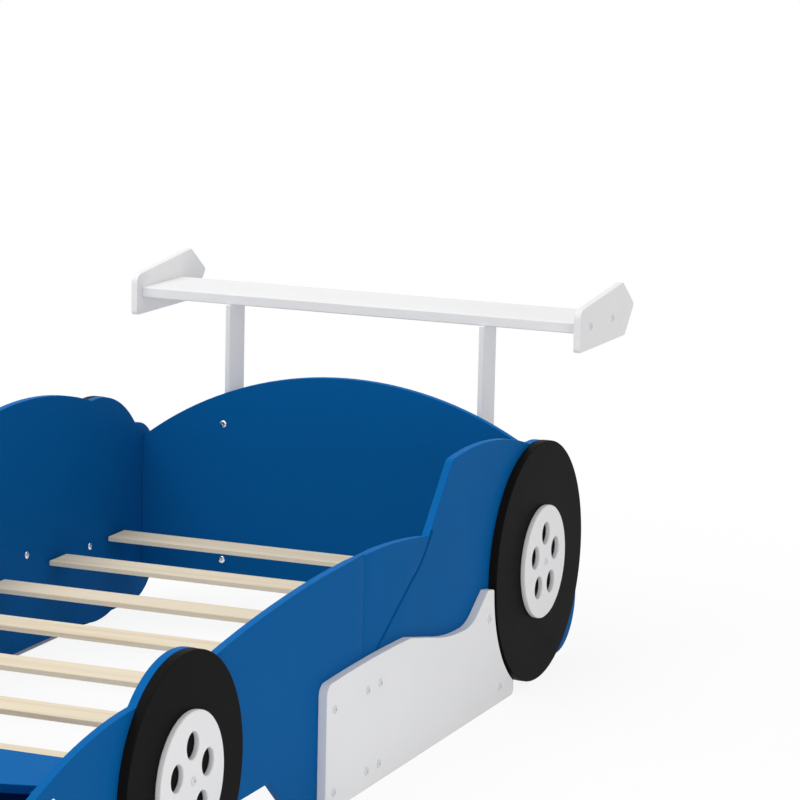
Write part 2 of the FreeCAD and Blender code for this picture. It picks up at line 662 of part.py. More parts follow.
def make_bin_floor():
    depth = f"bumper_ahead - {FOOTBOARD} - board"
    corners = rectangle(f"-{HALF_WIDTH}", f"-({depth})", HALF_WIDTH, "0")
    body = level_board("bin_floor", corners, "bin_floor_height", f"-{FOOTBOARD} - board")
    end_screw_holes(body, [("-floor_screw_set", "board / 2")])
    drill(body, "bumper_screw_holes", "XZ_Plane",
          [(f"{place} * bumper_floor_spread", "board / 2") for place in (-1, 0, 1)],
          SCREW_RADIUS, "bumper_screw_bite", 1, f"{depth}")


def make_nose_cleat(side):
    """The square batten that ties the bumper to a side; it stands on the bin floor."""
    way = SIDES[side]
    body = new_body(f"nose_cleat_{side}", x=f"{way} * {HALF_WIDTH}", y="-bumper_ahead")
    sketch = new_sketch(body, "end", "XY_Plane", "bin_floor_height + board")
    inner, outer = ("-cleat", "0") if way > 0 else ("0", "cleat")
    draw_outline(sketch, rectangle(inner, "0", outer, "cleat"))
    pad(body, sketch, "XY_Plane", "cleat_top - bin_floor_height - board", 1)
    drill(body, "nose_bolt_holes", "YZ_Plane",
          [("cleat / 2", "nose_bolt_lower"), ("cleat / 2", "nose_bolt_upper")],
          BOLT_RADIUS, "bumper_screw_bite", -way)
    drill(body, "bumper_screw_holes", "XZ_Plane",
          [(f"-{way} * cleat / 2", "bumper_screw_lower"),
           (f"-{way} * cleat / 2", "bumper_screw_upper")],
          SCREW_RADIUS, "bumper_screw_bite", 1)


def make_slat(index):
    """A slat, its long edges bevelled, with two blind holes in each end for its pins."""
    body = new_body(f"slat_{index + 1}", y=slat_middle(index), z="slat_top - slat_thickness")
    length = "(inner_width / 2 - slat_end_gap)"
    sketch = new_sketch(body, "outline", "XY_Plane")
    draw_outline(sketch, rectangle(f"-{length}", "-slat_width / 2", length, "slat_width / 2"))
    pad(body, sketch, "XY_Plane", "slat_thickness", 1)
    bevel_long_edges(body, "slat_width / 2", "slat_bevel")
    for side, way in SIDES.items():
        drill(body, f"pin_holes_{side}", "YZ_Plane",
              [(f"{place} * pin_spacing / 2", "slat_thickness / 2") for place in (-1, 1)],
              "pin_diameter / 2", "pin_grip", -way, f"{way} * {length}")


def bevel_long_edges(body, half_depth, size):
    """Bevel the four long edges of a board that lies across the bed."""
    edges = []
    for index, edge in enumerate(local_shape(body).Edges, start=1):
        first, last = edge.valueAt(edge.FirstParameter), edge.valueAt(edge.LastParameter)
        if near(first.y, last.y) and near(first.z, last.z) and near(abs(first.y), number(half_depth)):
            edges.append(f"Edge{index}")
    dress(body, "Chamfer", "bevels", edges, size, "Size")


# ---------------------------------------------------------------- skirts, wheels and hubs

def skirt_arc_across(height):
    """How far ahead of the axle the skirt's rear edge is, at a height."""
    return f"-sqrt({SKIRT_ARC} ^ 2 - (rear_wheel_radius - {height}) ^ 2)"


SKIRT = [
    ("-skirt_front_ahead", "0"),
    ("-skirt_front_ahead", "skirt_front_height", "skirt_crown_radius", 1),
    ("-skirt_dip_start_ahead", "skirt_dip_start_height"),
    ("-skirt_dip_ahead", "skirt_dip_height", "skirt_dip_radius", -1),
    ("-skirt_low_ahead", "skirt_low_height", "skirt_rise_radius", -1),
    ("-skirt_horn_ahead", "skirt_horn_start_height"),
    ("-skirt_horn_corner_ahead", "skirt_horn_corner_height"),
    (skirt_arc_across("skirt_horn_tip_height"), "skirt_horn_tip_height", SKIRT_ARC, -1),
    ("-skirt_toe_ahead", f"rear_wheel_radius - sqrt({SKIRT_ARC} ^ 2 - skirt_toe_ahead ^ 2)"),
    ("-skirt_toe_ahead", "0"),
]


def make_skirt(side):
    """The board that bridges a side's two halves and stands on the floor between the wheels."""
    way = SIDES[side]
    body = new_body(f"skirt_{side}", x=f"{way} * ({HALF_WIDTH} + board)")
    sketch = new_sketch(body, "outline", "YZ_Plane")
    draw_outline(sketch, SKIRT)
    pad(body, sketch, "YZ_Plane", "cladding", way)
    round_corners(body, "front_top", "YZ_Plane", [SKIRT[1]], "skirt_front_round")
    round_corners(body, "front_bottom", "YZ_Plane", [SKIRT[0]], "skirt_bottom_round")
    round_corners(body, "horn", "YZ_Plane", SKIRT[6:8], "skirt_horn_round")
    round_corners(body, "toe", "YZ_Plane", [SKIRT[-1]], "skirt_toe_round")
    drill(body, "bolt_holes", "YZ_Plane", SKIRT_BOLTS["front"] + SKIRT_BOLTS["rear"], BOLT_RADIUS,
          "cladding", way)
    drill(body, "inner_bolt_holes", "YZ_Plane", SKIRT_INNER_BOLTS["rear"], BOLT_RADIUS,
          "inner_bolt_bite", way)


def make_wheel(half, side):
    """A round board, its rim drawn with short straight sides, within 0.4 mm of round."""
    way = SIDES[side]
    radius, middle = WHEELS[half]
    body = new_body(f"wheel_{half}_{side}", f"{way} * ({HALF_WIDTH} + board)", middle, radius)
    sketch = new_sketch(body, "rim", "YZ_Plane")
    draw_polygon(sketch, "0", "0", radius, RIM_SIDES)
    pad(body, sketch, "YZ_Plane", "cladding", way)
    drill(body, "hub_bolt_hole", "YZ_Plane", [("0", "0")], BOLT_RADIUS, "cladding", way)
    across = "inner_bolt_front_behind" if half == "front" else "-inner_bolt_rear_ahead"
    drill(body, "inner_bolt_hole", "YZ_Plane", [(across, "-inner_bolt_drop")], BOLT_RADIUS,
          "inner_bolt_bite", way)


WHEELS = {"front": ("front_wheel_radius", "-wheelbase"), "rear": ("rear_wheel_radius", "0")}


def make_hub(half, side):
    """A round plate with a ring of holes, the first one straight above its bolt.

    Rim and holes are drawn with short straight sides, within 0.4 mm of round.
    """
    way = SIDES[side]
    radius, middle = WHEELS[half]
    body = new_body(f"hub_{half}_{side}", f"{way} * ({HALF_WIDTH} + board + cladding)", middle, radius)
    sketch = new_sketch(body, "rim", "YZ_Plane")
    draw_polygon(sketch, "0", "0", "hub_radius", RIM_SIDES)
    pad(body, sketch, "YZ_Plane", "hub_thickness", way)
    drill(body, "bolt_hole", "YZ_Plane", [("0", "0")], BOLT_RADIUS, "hub_thickness", way)
    hole = new_sketch(body, "ring_hole_rim", "YZ_Plane")
    draw_polygon(hole, "0", "hub_hole_pitch_radius", "hub_hole_radius", HUB_HOLE_SIDES)
    first = cut(body, "ring_hole", hole, "YZ_Plane", "hub_thickness", way)
    before = body.Shape.Volume
    ring = body.newObject("PartDesign::PolarPattern", "hole_ring")
    ring.Originals = [first]
    axle = [item for item in body.Origin.OriginFeatures if item.Role == "X_Axis"]
    ring.Axis = (axle[0], [""])
    ring.Angle = 360
    ring.setExpression("Occurrences", bound("hub_holes"))
    body.Tip = ring
    doc.recompute()
    if not body.Shape.Volume < before:
        raise RuntimeError(f"{body.Name}: the ring of holes cuts nothing")


# ---------------------------------------------------------------- the wing

def make_post(side):
    way = SIDES[side]
    body = new_body(f"spoiler_post_{side}", f"{way} * post_offset", "headboard_behind + board",
                    "post_bottom")
    sketch = new_sketch(body, "end", "XY_Plane")
    draw_outline(sketch, rectangle("-post_thickness / 2", "0", "post_thickness / 2", "post_depth"))
    pad(body, sketch, "XY_Plane", "wing_bottom - post_bottom", 1)
    drill(body, "bolt_holes", "XZ_Plane",
          [("0", f"{height} - post_bottom") for height in ("post_bolt_lower", "post_bolt_upper")],
          BOLT_RADIUS, "post_bolt_bite", 1)
    drill(body, "dowel_holes", "XY_Plane",
          [("0", f"{place} - headboard_behind - board")
           for place in ("wing_dowel_front", "wing_dowel_rear")],
          "dowel_diameter / 2", "dowel_length / 2", -1, "wing_bottom - post_bottom")


WING_HALF = "(inner_width / 2 + wing_overhang)"
PLATE_BOLTS = [("plate_bolt_front", "wing_bottom + wing_thickness / 2"),
               ("plate_bolt_rear", "wing_bottom + wing_thickness / 2")]


def make_wing():
    body = new_body("spoiler_wing", y="wing_front_behind + wing_depth / 2", z="wing_bottom")
    sketch = new_sketch(body, "outline", "XY_Plane")
    draw_outline(sketch, rectangle(f"-{WING_HALF}", "-wing_depth / 2", WING_HALF, "wing_depth / 2"))
    pad(body, sketch, "XY_Plane", "wing_thickness", 1)
    bevel_long_edges(body, "wing_depth / 2", "wing_bevel")
    middle = "(wing_front_behind + wing_depth / 2)"
    for side, way in SIDES.items():
        drill(body, f"plate_bolt_holes_{side}", "YZ_Plane",
              [(f"{place} - {middle}", "wing_thickness / 2") for place, height in PLATE_BOLTS],
              BOLT_RADIUS, "plate_bolt_bite", -way, f"{way} * {WING_HALF}")
    drill(body, "dowel_holes", "XY_Plane",
          [(f"{way} * post_offset", f"{place} - {middle}") for way in SIDES.values()
           for place in ("wing_dowel_front", "wing_dowel_rear")],
          "dowel_diameter / 2", "dowel_length / 2", 1)


PLATE = [
    ("plate_front_behind", "plate_bottom"),
    ("plate_front_behind", "plate_front_top"),
    ("plate_peak_behind", "plate_peak_height"),
    ("plate_tip_reach", "plate_tip_height"),
    ("plate_heel_behind", "plate_bottom"),
]


def make_plate(side):
    way = SIDES[side]
    body = new_body(f"spoiler_plate_{side}", x=f"{way} * {WING_HALF}")
    sketch = new_sketch(body, "outline", "YZ_Plane")
    draw_outline(sketch, PLATE)
    pad(body, sketch, "YZ_Plane", "plate_thickness", way)
    round_corners(body, "front_top", "YZ_Plane", [PLATE[1]], "plate_front_round")
    round_corners(body, "corners", "YZ_Plane", [PLATE[0], *PLATE[2:]], "plate_round")
    drill(body, "bolt_holes", "YZ_Plane", PLATE_BOLTS, BOLT_RADIUS, "plate_thickness", way)


# ---------------------------------------------------------------- bolts, screws, pins and dowels

def prism(sides, radius, top_radius, bottom, top):
    """A prism along +Z, its corners on the circles given, tapered if they differ."""
    rims = []
    for height, reach in ((bottom, radius), (top, top_radius)):
        corners = [Vector(reach * math.cos(turn), reach * math.sin(turn), height)
                   for turn in turns(sides)]
        rims.append(Part.makePolygon([*corners, corners[0]]))
    return Part.makeLoft(rims, True, True)


def make_bolt(length):
    """A bolt along +Z: its head's flat seat on the origin's plane, and its shank above it."""
    rim, height = number("bolt_head_radius"), number("bolt_head_height")
    head = prism(HEAD_SIDES, rim * BOLT_HEAD_TAPER, rim, -height, 0)
    return head.fuse(make_shank("bolt_diameter / 2", length)).removeSplitter()


def make_screw(length):
    """A flush screw along +Z, its head sunk from the origin's plane."""
    rim = number("screw_head_radius")
    head = prism(BORE_SIDES, rim, rim, 0, number("screw_head_height"))
    return head.fuse(make_shank("screw_diameter / 2", length)).removeSplitter()


def make_shank(radius, length):
    return prism(BORE_SIDES, number(radius), number(radius), 0, length)


BOLT_HEAD_TAPER = 0.8
ALONG = {
    # the way that a prism's first corner, next side and length point, to match the bores
    "x": Rotation(Vector(0, 1, 0), Vector(0, 0, 1), Vector(1, 0, 0)),
    "y": Rotation(Vector(1, 0, 0), Vector(0, 0, -1), Vector(0, 1, 0)),
    "z": Rotation(),
}


def add_group(name, solids):
    """Like fasteners, apart from each other, in one sub-part."""
    group = doc.addObject("Part::Feature", name)
    group.Label = name
    group.Shape = Part.makeCompound(solids)
    place(group)


def put(shape, axis, way, x, y, z):
    """A copy of a shape that lies along +Z, turned to point along an axis and moved to a point."""
    turn = ALONG[axis] if way > 0 else ALONG[axis].multiply(Rotation(Vector(1, 0, 0), 180))
    copy = shape.copy()
    copy.Placement = Placement(Vector(number(x), number(y), number(z)), turn)
    return copy


def both_sides(shape, distance, inward, places):
    """Copies at the same places of both sides, pointing inward (1) or outward (-1)."""
    return [put(shape, "x", -way * inward, f"{way} * ({distance})", across, up)
            for way in SIDES.values() for across, up in places]


def make_fasteners():
    outer = f"{HALF_WIDTH} + board"
    halves = ("front", "rear")
    skirt_bolt = make_bolt(number("cladding + bolt_bite"))
    for side, way in SIDES.items():
        seats = [seat for half in halves for seat in SKIRT_BOLTS[half]]
        add_group(f"skirt_bolts_{side}", [
            put(skirt_bolt, "x", -way, f"{way} * ({outer} + cladding)", *seat) for seat in seats])
        pin = make_shank("pin_diameter / 2", number("pin_depth + slat_end_gap + pin_grip"))
        add_group(f"slat_pins_{side}", [
            put(pin, "x", -way, f"{way} * ({HALF_WIDTH} + pin_depth)", *seat)
            for seat in pin_places(range(SLATS))])
    hub_bolt = make_bolt(number("hub_thickness + cladding + bolt_bite"))
    add_group("hub_bolts", both_sides(hub_bolt, f"{outer} + cladding + hub_thickness", 1,
                                      HUB_BOLTS["front"] + HUB_BOLTS["rear"]))
    inner_bolt = make_bolt(number("board + inner_bolt_bite"))
    add_group("inner_bolts", both_sides(inner_bolt, HALF_WIDTH, -1, [
        *WHEEL_BOLTS["front"], *WHEEL_BOLTS["rear"], *SKIRT_INNER_BOLTS["rear"]]))
    nose_bolt = make_bolt(number("board + bumper_screw_bite"))
    add_group("nose_bolts", both_sides(nose_bolt, outer, 1, NOSE_BOLTS))
    plate_bolt = make_bolt(number("plate_thickness + plate_bolt_bite"))
    add_group("plate_bolts", both_sides(plate_bolt, f"{WING_HALF} + plate_thickness", 1,
                                        PLATE_BOLTS))
    post_bolt = make_bolt(number("board + post_bolt_bite"))
    add_group("post_bolts", [put(post_bolt, "y", 1, across, "headboard_behind", up)
                             for across, up in POST_BOLTS])
    corner_screw = make_screw(number("board + screw_bite"))
    add_group("corner_screws", both_sides(corner_screw, outer, 1,
                                          CORNER_SCREWS["front"] + CORNER_SCREWS["rear"]))
    bumper_screw = make_bolt(number("board + bumper_screw_bite"))
    add_group("bumper_bolts", [put(bumper_screw, "y", 1, across, "-bumper_ahead - board", up)
                               for across, up in BUMPER_CLEAT_SCREWS + BUMPER_FLOOR_SCREWS])
    dowel = make_shank("dowel_diameter / 2", number("dowel_length"))
    add_group("seam_dowels", [
        put(dowel, "y", 1, f"{way} * ({HALF_WIDTH} + board / 2)", "-seam_ahead - dowel_length / 2",
            height) for way in SIDES.values() for height in SEAM_DOWELS])
    add_group("wing_dowels", [
        put(dowel, "z", 1, f"{way} * post_offset", place_behind, "wing_bottom - dowel_length / 2")
        for way in SIDES.values() for place_behind in ("wing_dowel_front", "wing_dowel_rear")])


make_headboard()
make_footboard()
make_deck()
make_bin_floor()
make_bumper()
for index in range(SLATS):
    make_slat(index)
for side in SIDES:
    make_nose_cleat(side)
    make_skirt(side)
    make_post(side)
    make_plate(side)
    for half in WHEELS:
        make_wheel(half, side)
        make_hub(half, side)
make_wing()
make_fasteners()


# ---------------------------------------------------------------- checks and files

def finish():
    """Stop at the first thing that failed, then write each sub-part."""
    doc.recompute()
    for item in doc.Objects:
        if "Invalid" in item.State or "Error" in item.State:
            raise RuntimeError(f"{item.Name} failed: {item.State}")
    os.makedirs("parts", exist_ok=True)
    for item in sub_parts():
        shape = item.Shape
        if shape.isNull() or not shape.isValid():
            raise RuntimeError(f"{item.Label} has no valid shape")
        shape.exportStep(f"parts/{item.Label}.step")
        print(f"{item.Label:28s} solids {len(shape.Solids):3d} volume {shape.Volume / 1000:10.1f} cm3")


def sub_parts():
    return [item for item in doc.Objects if item.TypeId in ("PartDesign::Body", "Part::Feature")]


finish()
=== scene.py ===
"""A child's race car bed of painted boards, dressed and lit for a studio picture.

The frame gives every board at its real size and place. Here each board gets the softly rounded
edges and the satin paint of the real one, with a painted light on the blue faces that look up, the
slats get their pine, and the bolts get their domed heads and sockets. Metres; the nose points
along -Y, +Z is up and +X is the car's own left.
"""
import math

import bmesh
import bpy
from mathutils import Matrix, Vector


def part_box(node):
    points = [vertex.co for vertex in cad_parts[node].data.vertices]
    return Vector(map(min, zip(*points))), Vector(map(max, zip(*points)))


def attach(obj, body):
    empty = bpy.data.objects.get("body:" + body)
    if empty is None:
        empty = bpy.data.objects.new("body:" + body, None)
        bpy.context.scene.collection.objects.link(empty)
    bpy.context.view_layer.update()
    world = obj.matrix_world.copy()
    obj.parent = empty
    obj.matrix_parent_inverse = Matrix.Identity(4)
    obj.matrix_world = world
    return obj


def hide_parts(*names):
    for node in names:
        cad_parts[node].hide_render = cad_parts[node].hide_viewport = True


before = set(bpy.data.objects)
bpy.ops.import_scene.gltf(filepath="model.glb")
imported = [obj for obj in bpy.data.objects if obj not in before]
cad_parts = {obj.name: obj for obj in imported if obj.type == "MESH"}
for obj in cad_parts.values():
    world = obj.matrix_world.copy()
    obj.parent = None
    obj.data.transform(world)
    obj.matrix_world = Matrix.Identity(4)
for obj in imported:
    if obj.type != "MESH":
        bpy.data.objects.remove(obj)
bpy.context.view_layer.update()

bl_info = {
    "name": "Race car bed",
    "version": (1, 0, 0),
    "blender": (4, 5, 0),
    "location": "3D View > Sidebar > Car bed",
    "description": "Dresses the boards, slats and bolts of a child's race car bed",
    "category": "Object",
}

AXES = {"x": 0, "y": 1, "z": 2}
BODY = "root"
SIDES = ("left", "right")
HALVES = ("front", "rear")
SLATS = 7
AXLE_BEHIND_MIDDLE = 0.8285     # metres from the frame's middle back to the rear axle


def tone(red, green, blue):
    """A colour given by its 0 to 255 screen values, as the linear values that shaders use."""
    shares = (red / 255, green / 255, blue / 255)
    return tuple(s / 12.92 if s <= 0.04045 else ((s + 0.055) / 1.055) ** 2.4 for s in shares)


# ---------------------------------------------------------------- shader maths

# The colour sockets of a Mix node, whose names stand for its other kinds of socket too.
MIX_SHARE, MIX_FIRST, MIX_SECOND, MIX_RESULT = 0, 6, 7, 2


class Wire:
    """A shader socket that takes part in Python expressions of plain values."""

    def __init__(self, wiring, socket):
        self.wiring, self.socket = wiring, socket

    def maths(self, operation, first, second):
        """Add a Math node of an operation on two wires or numbers."""
        return self.wiring.node("ShaderNodeMath", {"operation": operation}, {0: first, 1: second})

    def __add__(self, other):
        return self.maths("ADD", self, other)

    def __radd__(self, other):
        return self.maths("ADD", other, self)

    def __sub__(self, other):
        return self.maths("SUBTRACT", self, other)

    def __rsub__(self, other):
        return self.maths("SUBTRACT", other, self)

    def __mul__(self, other):
        return self.maths("MULTIPLY", self, other)

    def __rmul__(self, other):
        return self.maths("MULTIPLY", other, self)


class Wiring:
    """A tree of shader nodes, of a material or of the world."""

    def __init__(self, tree):
        self.tree = tree

    def node(self, kind, settings=None, sockets=None, output=0):
        """Add a node: its settings first, then the values or wires of its sockets."""
        made = self.tree.nodes.new(kind)
        for name, value in (settings or {}).items():
            if name == "stops":
                self.set_stops(made.color_ramp, value)
            else:
                setattr(made, name, value)
        for name, value in (sockets or {}).items():
            self.feed(made.inputs[name], value)
        return Wire(self, made.outputs[output])

    def feed(self, socket, value):
        """Link a wire to a socket, or set the socket to a plain value."""
        if isinstance(value, Wire):
            self.tree.links.new(value.socket, socket)
        else:
            socket.default_value = value

    @staticmethod
    def set_stops(ramp, stops):
        """Give a colour ramp its stops, each a place and a colour."""
        while len(ramp.elements) < len(stops):
            ramp.elements.new(1.0)
        for element, (place, colour) in zip(ramp.elements, stops):
            element.position, element.color = place, (*colour, 1.0)

    def shown(self):
        """One where the camera sees the surface, or a mirror image or glass shows it."""
        rays = [self.node("ShaderNodeLightPath", output=f"Is {kind} Ray")
                for kind in ("Camera", "Glossy", "Transmission")]
        return rays[0] + rays[1] + rays[2]

    def mix_shaders(self, share, first, second):
        """Mix two shaders by a share."""
        return self.node("ShaderNodeMixShader", None, {0: share, 1: first, 2: second})

    def surface(self, wire):
        """End the tree in a shader."""
        output = next(node for node in self.tree.nodes if node.type.startswith("OUTPUT"))
        self.feed(output.inputs["Surface"], wire)


class Finish(Wiring):
    """A material in the making, with one Principled shader that its wires end in."""

    def __init__(self, name, constants):
        self.material = bpy.data.materials.new(name)
        self.material.use_nodes = True
        super().__init__(self.material.node_tree)
        self.shader = self.tree.nodes["Principled BSDF"]
        for socket, value in constants.items():
            self.shader.inputs[socket].default_value = value

    def place(self, scale=(1.0, 1.0, 1.0)):
        """The point of the surface, in metres in the bed's own frame, times a scale."""
        point = self.node("ShaderNodeTexCoord", output="Object")
        return self.node("ShaderNodeVectorMath", {"operation": "MULTIPLY"}, {0: point, 1: scale})

    def noise(self, scale, detail=2.0, stretch=(1.0, 1.0, 1.0)):
        """Soft noise from 0 to 1, with about as many blotches to the metre as its scale."""
        return self.node("ShaderNodeTexNoise", None,
                         {"Vector": self.place(stretch), "Scale": scale, "Detail": detail})

    def ramp(self, value, stops):
        """Turn a value into colours, by stops of a place and a colour."""
        return self.node("ShaderNodeValToRGB", {"stops": stops}, {"Fac": value})

    def blend(self, share, first, second):
        """Mix two colours by a share."""
        sockets = {MIX_SHARE: share, MIX_FIRST: as_colour(first), MIX_SECOND: as_colour(second)}
        return self.node("ShaderNodeMix", {"data_type": "RGBA"}, sockets, output=MIX_RESULT)

    def end(self, socket, value):
        """Let a wire end in a socket of the shader."""
        self.feed(self.shader.inputs[socket], value)

    def relief(self, height, depth):
        """Raise the surface by a height from 0 to 1, times a depth in metres."""
        bump = self.node("ShaderNodeBump", None, {"Height": height, "Distance": depth})
        self.end("Normal", bump)


def as_colour(value):
    """A wire as it is, or a plain colour with full alpha."""
    return value if isinstance(value, Wire) else (*value, 1.0)


def shade(colour, factor):
    """A colour made darker or brighter by a factor."""
    return tuple(channel * factor for channel in colour)


# ---------------------------------------------------------------- finishes

# Scales are in noise blotches to the metre, and reliefs in metres. A spread is how much a
# roughness changes in all over a surface, and a shade is a factor on a colour.
EMPTY, FULL = (0.0, 0.0, 0.0), (1.0, 1.0, 1.0)  # the ends of a mask

PAINT_IOR = 1.05                # a low one keeps the paint matt at shallow angles
CLOUD_SCALE = 2.4
CLOUD_SHADE = 0.9
SHEEN_SCALE = 9.0
SHEEN_SPREAD = 0.12
PEEL_SCALE = 420.0
PEEL_RELIEF = 0.00003
# Where the painted light on faces that look up begins and where it is full, as the Z of a face's
# normal
NO_PAINTED_LIGHT_BELOW, FULL_PAINTED_LIGHT_ABOVE = 0.45, 0.85        # the Z of a face's normal

WOOD_IOR = 1.45
WOOD_SHINE = 0.12
WOOD_ROUGHNESS = 0.62
WOOD_SPREAD = 0.15
RING_STRETCH = (1.1, 34.0, 60.0)
CLEAR_AT, RING_FROM, RING_AT, RING_TO = 0.30, 0.52, 0.60, 0.66  # places in the rings' noise
SHADE_BEFORE, SHADE_AFTER = 0.97, 0.98
FIBRE_STRETCH = (14.0, 900.0, 900.0)
FIBRE_SHARE = 0.35
FIBRE_SHADE = 0.92
FIBRE_RELIEF = 0.0001

STEEL_MARKS = 900.0
STEEL_SPREAD = 0.1
STEEL_DARKER, STEEL_BRIGHTER = 0.9, 1.08


def paint(name, colour, upper, roughness):
    """Sprayed satin paint on fibreboard: a little cloudy, with a fine orange peel.

    The faces that look up take the second colour, which is brighter on the blue boards, as it is
    in the picture:
    a painted light that stands in for the stronger light falling from above.
    """
    finish = Finish(name, {"IOR": PAINT_IOR})
    cloud = finish.noise(CLOUD_SCALE, detail=3.0)
    facing = finish.node("ShaderNodeNewGeometry", output="Normal")
    upward = finish.node("ShaderNodeSeparateXYZ", None, {0: facing}, output="Z")
    # top is the share of painted light from above, nought on upright faces and one on faces that
    # look up; upper is the painted-light colour, and both coats below carry it
    top = finish.ramp(upward, [(NO_PAINTED_LIGHT_BELOW, EMPTY), (FULL_PAINTED_LIGHT_ABOVE, FULL)])
    coat_and_painted_light = finish.blend(top, colour, upper)
    thin_coat_and_painted_light = finish.blend(top, shade(colour, CLOUD_SHADE), shade(upper, CLOUD_SHADE))
    finish.end("Base Color", finish.blend(cloud, thin_coat_and_painted_light, coat_and_painted_light))
    sheen = finish.noise(SHEEN_SCALE)
    finish.end("Roughness", roughness + (sheen - 0.5) * SHEEN_SPREAD)
    peel = finish.noise(PEEL_SCALE, detail=1.0)
    finish.relief(peel, PEEL_RELIEF)
    return finish.material


def pine(name, pale, dark):
    """Planed pine: growth rings drawn out along the slat, with fine fibres across them."""
    finish = Finish(name, {"IOR": WOOD_IOR, "Specular IOR Level": WOOD_SHINE})
    rings = finish.noise(1.0, detail=3.0, stretch=RING_STRETCH)
    fibres = finish.noise(1.0, stretch=FIBRE_STRETCH)
    grain = finish.ramp(rings, [(CLEAR_AT, pale), (RING_FROM, shade(pale, SHADE_BEFORE)),
                                (RING_AT, dark), (RING_TO, shade(pale, SHADE_AFTER))])
    fibre = shade(dark, FIBRE_SHADE)
    finish.end("Base Color", finish.blend(fibres * FIBRE_SHARE, grain, fibre))
    finish.end("Roughness", WOOD_ROUGHNESS + (fibres - 0.5) * WOOD_SPREAD)
    finish.relief(fibres, FIBRE_RELIEF)
    return finish.material


def steel(name, colour, roughness, metallic):
    """Plated steel with faint turning marks."""
    finish = Finish(name, {"Metallic": metallic})
    marks = finish.noise(STEEL_MARKS)
    finish.end("Base Color", finish.blend(marks, shade(colour, STEEL_DARKER),
                                          shade(colour, STEEL_BRIGHTER)))
    finish.end("Roughness", roughness + (marks - 0.5) * STEEL_SPREAD)
    return finish.material


# ---------------------------------------------------------------- boards from the frame

NEAR = 2e-5                     # metres by which a point may miss a plane or a circle
DECIMALS = 6                    # metres are rounded to these, so that shared corners match
WELD = 1e-6                     # metres
SMALLEST_HOLE = 0.02            # metres across, below which a hole is a bore
SMALLEST_RIM = 0.05             # metres of radius, below which a circle is a hole
FEWEST_SIDES = 12
HOLE_STEPS, RIM_STEPS = 48, 180
BEVEL_STEPS = 2
SMOOTH_BELOW = math.radians(32)


def face_loops(node, axis, level):
    """The closed edges of a board's flat face at a level of an axis, the outline first."""
    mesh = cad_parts[node].data
    first, second = (axis + 1) % 3, (axis + 2) % 3
    uses, follows = {}, {}
    mesh.calc_loop_triangles()
    for triangle in mesh.loop_triangles:
        corners = [mesh.vertices[index].co for index in triangle.vertices]
        if any(abs(corner[axis] - level) > NEAR for corner in corners):
            continue
        keys = [(round(corner[first], DECIMALS), round(corner[second], DECIMALS))
                for corner in corners]
        for start, end in zip(keys, keys[1:] + keys[:1]):
            edge = frozenset((start, end))
            uses[edge] = uses.get(edge, 0) + 1
    for edge, count in uses.items():
        if count == 1 and len(edge) == 2:
            start, end = edge
            follows.setdefault(start, []).append(end)
            follows.setdefault(end, []).append(start)
    loops = []
    while follows:
        start = next(iter(follows))
        loop, here = [start], start
        while follows[here]:
            there = follows[here].pop()
            follows[there].remove(here)
            if there == start:
                break
            loop.append(there)
            here = there
        for point in [point for point in follows if not follows[point]]:
            del follows[point]
        loops.append(loop)
    return sorted(loops, key=span, reverse=True)


def span(loop):
    """The longer side of the box round a loop."""
    return max(max(point[way] for point in loop) - min(point[way] for point in loop)
               for way in (0, 1))


def rounded_board(node, axis_name, rounding, face="low"):
    """A board with a CAD node's outline and real holes, and softly rounded edges.

    The axis runs through the board's thickness, and the outline is read from its low or high
    face. Bores for bolts and pins are left closed, because a head or a board covers each.
    """
    axis = AXES[axis_name]
    low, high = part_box(node)
    loops = face_loops(node, axis, (low if face == "low" else high)[axis])
    curve = bpy.data.curves.new(node, "CURVE")
    curve.dimensions, curve.fill_mode = "2D", "BOTH"
    curve.extrude = (high[axis] - low[axis]) / 2 - rounding
    curve.bevel_depth, curve.bevel_resolution, curve.offset = rounding, BEVEL_STEPS, -rounding
    for index, loop in enumerate(loops):
        if index and span(loop) < SMALLEST_HOLE:
            continue
        loop = true_circle(loop)
        spline = curve.splines.new("POLY")
        spline.points.add(len(loop) - 1)
        spline.use_cyclic_u = True
        for point, (across, up) in zip(spline.points, loop):
            point.co = (across, up, 0.0, 1.0)
    shell = bpy.data.objects.new(node, curve)
    bpy.context.scene.collection.objects.link(shell)
    bpy.context.view_layer.update()
    mesh = bpy.data.meshes.new_from_object(shell)
    bpy.data.objects.remove(shell)
    bpy.data.curves.remove(curve)

    columns = [Vector() for _ in range(3)]
    columns[0][(axis + 1) % 3] = columns[1][(axis + 2) % 3] = columns[2][axis] = 1.0
    turn = Matrix(columns).transposed().to_4x4()
    turn.translation[axis] = (high[axis] + low[axis]) / 2
    mesh.transform(turn)
    return add_piece(node + "_board", mesh, [node])


def true_circle(loop):
    """The loop itself, or a rounder circle where its corners all lie on one."""
    middle = sum((Vector(point) for point in loop), Vector((0.0, 0.0))) / len(loop)
    radii = [(Vector(point) - middle).length for point in loop]
    if max(radii) - min(radii) > NEAR or len(loop) < FEWEST_SIDES:
        return loop
    steps = HOLE_STEPS if max(radii) < SMALLEST_RIM else RIM_STEPS
    turns = (2 * math.pi * step / steps for step in range(steps))
    return [(middle.x + max(radii) * math.cos(turn), middle.y + max(radii) * math.sin(turn))
            for turn in turns]


def add_piece(name, mesh, nodes):
    """Tidy a mesh, put it on the bed and let it stand for some CAD nodes."""
    shape = bmesh.new()
    shape.from_mesh(mesh)
    bmesh.ops.remove_doubles(shape, verts=shape.verts, dist=WELD)
    bmesh.ops.recalc_face_normals(shape, faces=shape.faces)
    shape.to_mesh(mesh)
    shape.free()
    piece = bpy.data.objects.new(name, mesh)
    bpy.context.scene.collection.objects.link(piece)
    keep_faces_flat(piece)
    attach(piece, BODY)
    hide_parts(*nodes)
    return piece


